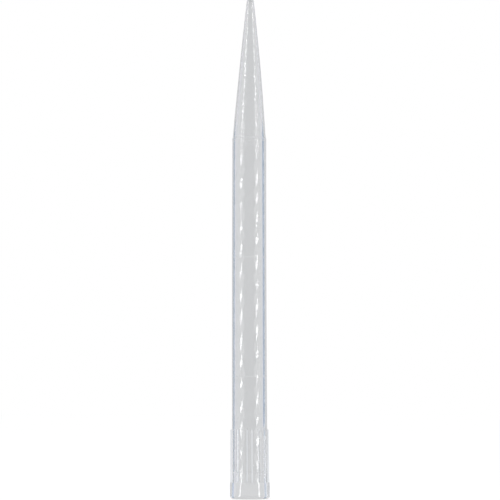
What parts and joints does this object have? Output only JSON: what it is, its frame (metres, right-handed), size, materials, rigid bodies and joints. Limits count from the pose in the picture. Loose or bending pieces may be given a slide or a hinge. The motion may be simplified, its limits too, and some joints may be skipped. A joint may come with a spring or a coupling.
{
  "type": "pipette tip",
  "caption": "Long clear plastic pipette tip with a plain cylindrical barrel, a tapered nose, a ribbed collar and a smooth rounded rim round its socket.",
  "frame": {"origin": "centre of the mouth, in the plane of the flat rim that the tip stands on", "axes": "+Z along the bore from the socket's mouth to the orifice; +X and -Y each pass through the middle of a rib"},
  "size_m": [0.012, 0.012, 0.15],
  "materials": {
    "clear_polypropylene": "clear natural polypropylene, faintly milky, glossy as moulded, with fine flow ripples on the barrel and nose"
  },
  "bodies": {
    "root": {"pipette_tip": "clear_polypropylene"}
  },
  "joints": []
}
